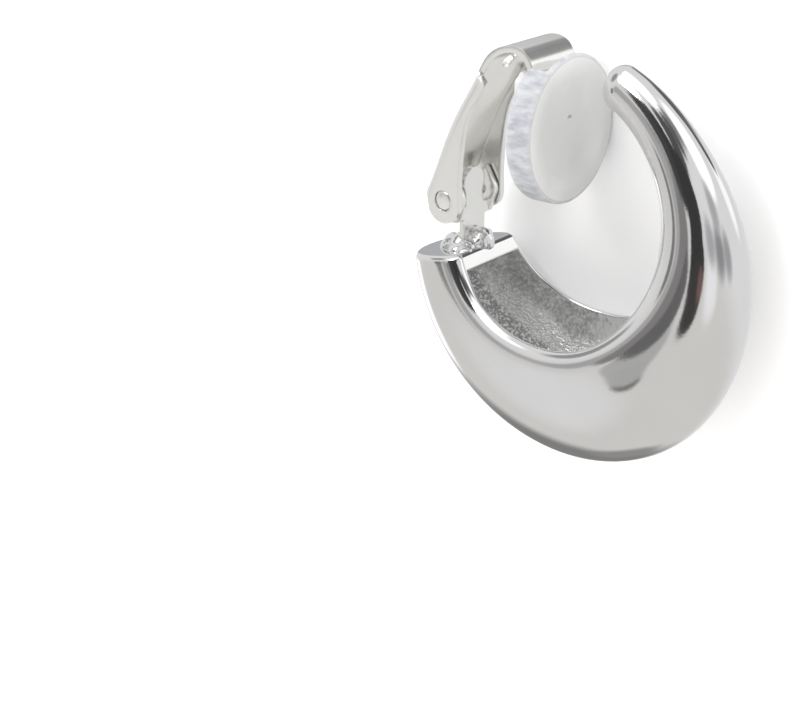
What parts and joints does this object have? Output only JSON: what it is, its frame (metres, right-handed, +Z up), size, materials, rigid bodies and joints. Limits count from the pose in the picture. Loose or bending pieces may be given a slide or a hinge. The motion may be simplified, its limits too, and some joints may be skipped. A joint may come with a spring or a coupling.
{
  "type": "clip on earring",
  "caption": "Polished tapering hoop with a hollow back, closed behind the ear lobe by a hinged clip with a soft silicone pad.",
  "frame": {"origin": "on the floor under the middle of the earring, which lies on its side", "axes": "+Z up, across the hoop's width; +Y the way the hoop opens, towards the clip's hook and the tip; +X from the clip towards the tapering front"},
  "size_m": [0.026, 0.0286, 0.01],
  "materials": {
    "polished_silver": "polished silver tone plating, rough as cast in the hollow",
    "clip_metal": "plated sheet, smooth",
    "silicone": "translucent silicone, satin"
  },
  "bodies": {
    "hoop": {"hoop": "polished_silver"},
    "lever": {"clip_lever": "clip_metal", "comfort_pad": "silicone"}
  },
  "joints": [
    {"name": "clip_hinge", "type": "hinge", "parent": "hoop", "child": "lever", "pos_m": [-0.00939, 0.00289, 0.00521], "axis": [0.029, -0.0059, 0.9996], "range_deg": [0, 70]}
  ]
}
